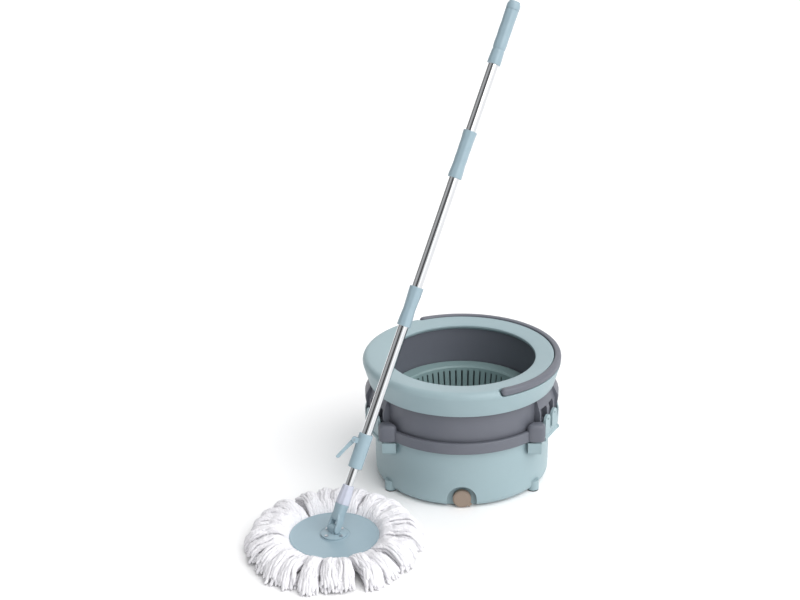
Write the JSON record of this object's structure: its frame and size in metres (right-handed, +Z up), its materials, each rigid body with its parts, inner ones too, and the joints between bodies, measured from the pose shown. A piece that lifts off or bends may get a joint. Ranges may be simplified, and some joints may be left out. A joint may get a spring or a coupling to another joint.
{
  "type": "spin mop",
  "caption": "Spin mop set: telescopic mop with a tilting strand head, beside a two-storey wringing bucket with spin basket, carrying handles, latches and drain plug.",
  "frame": {"origin": "on the floor, in the middle of the set's outline seen from above", "axes": "+Z up, +Y away from the viewer, from the drain plug towards the back of the bucket; +X to the right"},
  "size_m": [0.592, 0.676, 0.9299],
  "materials": {
    "aqua_plastic": "soft satin moulded plastic",
    "grey_plastic": "soft satin moulded plastic",
    "blue_plastic": "satin moulded plastic",
    "clear_plastic": "milky translucent plastic",
    "basket_plastic": "satin moulded plastic",
    "beige_plastic": "satin moulded plastic",
    "white_nylon": "natural nylon",
    "chrome_tube": "bright chromed steel tube",
    "steel": "plain steel",
    "rubber_black": "black rubber",
    "microfibre": "white looped microfibre"
  },
  "bodies": {
    "lower_bucket": {"lower_bucket": "aqua_plastic", "foot_pads": "rubber_black", "handle_pins": "steel", "latch_pins": "steel"},
    "front_handle": {"front_handle": "grey_plastic"},
    "back_handle": {"back_handle": "grey_plastic"},
    "latch_front_right": {"latch_front_right": "aqua_plastic"},
    "latch_back_right": {"latch_back_right": "aqua_plastic"},
    "latch_back_left": {"latch_back_left": "aqua_plastic"},
    "latch_front_left": {"latch_front_left": "aqua_plastic"},
    "drain_plug": {"drain_plug": "beige_plastic", "drain_seal": "rubber_black"},
    "tub": {"upper_tub": "grey_plastic", "splash_ring": "aqua_plastic", "ring_screws": "steel", "top_handle_pins": "steel", "spindle": "steel"},
    "top_handle": {"top_handle": "grey_plastic"},
    "basket": {"spindle_bush": "white_nylon", "spin_basket": "basket_plastic", "basket_cap": "grey_plastic"},
    "mop_head": {"mop_strands": "microfibre", "strand_ring": "white_nylon", "mop_plate": "blue_plastic", "swivel_base": "blue_plastic", "base_screws": "steel"},
    "fork": {"fork_pin": "steel", "pole_fork": "blue_plastic", "ferrule_cone": "clear_plastic", "inner_tube": "chrome_tube", "drive_rod": "steel"},
    "pole_slider": {"glide_bush": "white_nylon"},
    "pole": {"lever_collar": "blue_plastic", "lever_pin": "steel", "drive_nut": "white_nylon", "lower_tube": "chrome_tube", "lower_joint": "blue_plastic", "middle_tube": "chrome_tube", "upper_joint": "blue_plastic", "upper_tube": "chrome_tube", "hand_grip": "blue_plastic", "end_cap": "blue_plastic"},
    "lock_lever": {"lock_lever": "blue_plastic"}
  },
  "joints": [
    {"name": "front_handle_swing", "type": "hinge", "parent": "lower_bucket", "child": "front_handle", "pos_m": [0.102, 0.024, 0.144], "axis": [-1, 0, 0], "range_deg": [0, 18]},
    {"name": "back_handle_swing", "type": "hinge", "parent": "lower_bucket", "child": "back_handle", "pos_m": [0.102, 0.264, 0.144], "axis": [1, 0, 0], "range_deg": [0, 18]},
    {"name": "latch_front_right_tilt", "type": "hinge", "parent": "lower_bucket", "child": "latch_front_right", "pos_m": [0.27304, 0.06242, 0.118], "axis": [0.4305, 0.9026, 0], "range_deg": [0, 12]},
    {"name": "latch_back_right_tilt", "type": "hinge", "parent": "lower_bucket", "child": "latch_back_right", "pos_m": [0.27304, 0.22558, 0.118], "axis": [-0.4305, 0.9026, 0], "range_deg": [0, 12]},
    {"name": "latch_back_left_tilt", "type": "hinge", "parent": "lower_bucket", "child": "latch_back_left", "pos_m": [-0.06904, 0.22558, 0.118], "axis": [-0.4305, -0.9026, 0], "range_deg": [0, 12]},
    {"name": "latch_front_left_tilt", "type": "hinge", "parent": "lower_bucket", "child": "latch_front_left", "pos_m": [-0.06904, 0.06242, 0.118], "axis": [0.4305, -0.9026, 0], "range_deg": [0, 12]},
    {"name": "drain_plug_pull", "type": "slide", "parent": "lower_bucket", "child": "drain_plug", "axis": [0, -1, 0], "range_m": [0, 0.03]},
    {"name": "tub_lift", "type": "slide", "parent": "lower_bucket", "child": "tub", "axis": [0, 0, 1], "range_m": [0, 0.09]},
    {"name": "top_handle_swing", "type": "hinge", "parent": "tub", "child": "top_handle", "pos_m": [0.102, 0.144, 0.2465], "axis": [0.4226, -0.9063, 0], "range_deg": [0, 90]},
    {"name": "basket_spin", "type": "hinge", "parent": "tub", "child": "basket", "pos_m": [0.102, 0.144, 0.1], "axis": [0, 0, 1], "continuous": true},
    {"name": "mop_lift", "type": "slide", "parent": "lower_bucket", "child": "mop_head", "axis": [0, 0, 1], "range_m": [0, 0.3]},
    {"name": "pole_tilt", "type": "hinge", "parent": "mop_head", "child": "fork", "pos_m": [-0.13, -0.172, 0.043], "axis": [-0.7478, 0.6639, 0], "range_deg": [-95, 2]},
    {"name": "pole_extend", "type": "slide", "parent": "fork", "child": "pole_slider", "axis": [0.3249, 0.366, 0.8721], "range_m": [0, 0.24]},
    {"name": "pole_spin", "type": "hinge", "parent": "pole_slider", "child": "pole", "pos_m": [-0.08776, -0.12442, 0.15637], "axis": [0.3249, 0.366, 0.8721], "range_deg": [0, 1080.5]},
    {"name": "lock_lever_flip", "type": "hinge", "parent": "pole", "child": "lock_lever", "pos_m": [-0.09325, -0.11042, 0.19152], "axis": [-0.0371, 0.9263, -0.3749], "range_deg": [0, 70]}
  ],
  "couplings": [
    {"joint": "pole_spin", "follows": "pole_extend", "rad_per_m": 78.54}
  ]
}
